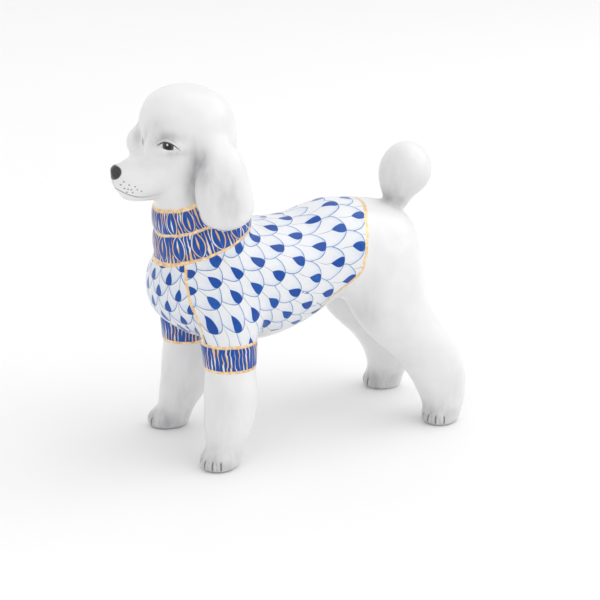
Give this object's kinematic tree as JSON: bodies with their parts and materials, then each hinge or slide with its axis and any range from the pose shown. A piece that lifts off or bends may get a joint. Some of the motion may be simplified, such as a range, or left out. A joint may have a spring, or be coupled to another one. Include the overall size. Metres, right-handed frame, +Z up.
{
  "type": "dog figurine",
  "caption": "Standing glazed porcelain poodle in a roll-neck knitted sweater painted with overlapping blue scales and gilded edges, hollow cast, on four feet.",
  "frame": {"origin": "on the ground under the middle of the figurine's length and width, at the bottom centre of its bounding box", "axes": "+Z up, the dog faces -Y, its left side is +X, and the YZ plane is its plane of symmetry"},
  "size_m": [0.0562, 0.1242, 0.125],
  "materials": {
    "white_porcelain": "clear gloss glaze over white hard-paste porcelain, with soft grey shading sprayed on the legs, the ears and the pompon",
    "scale_painted_porcelain": "clear gloss glaze, hand painted in cobalt with overlapping scales, gilded along the hem and the shoulder seams",
    "cobalt_gilt_porcelain": "clear gloss glaze over cobalt, with gilded edges and gold lozenges and wedges in burnished matt gold"
  },
  "bodies": {
    "root": {"torso_casting": "scale_painted_porcelain", "head_casting": "white_porcelain", "left_ear": "white_porcelain", "right_ear": "white_porcelain", "upper_collar_fold": "cobalt_gilt_porcelain", "lower_collar_fold": "cobalt_gilt_porcelain", "left_foreleg": "white_porcelain", "right_foreleg": "white_porcelain", "left_cuff": "cobalt_gilt_porcelain", "right_cuff": "cobalt_gilt_porcelain", "left_hind_leg": "white_porcelain", "right_hind_leg": "white_porcelain", "tail_pompon": "white_porcelain"}
  },
  "joints": []
}
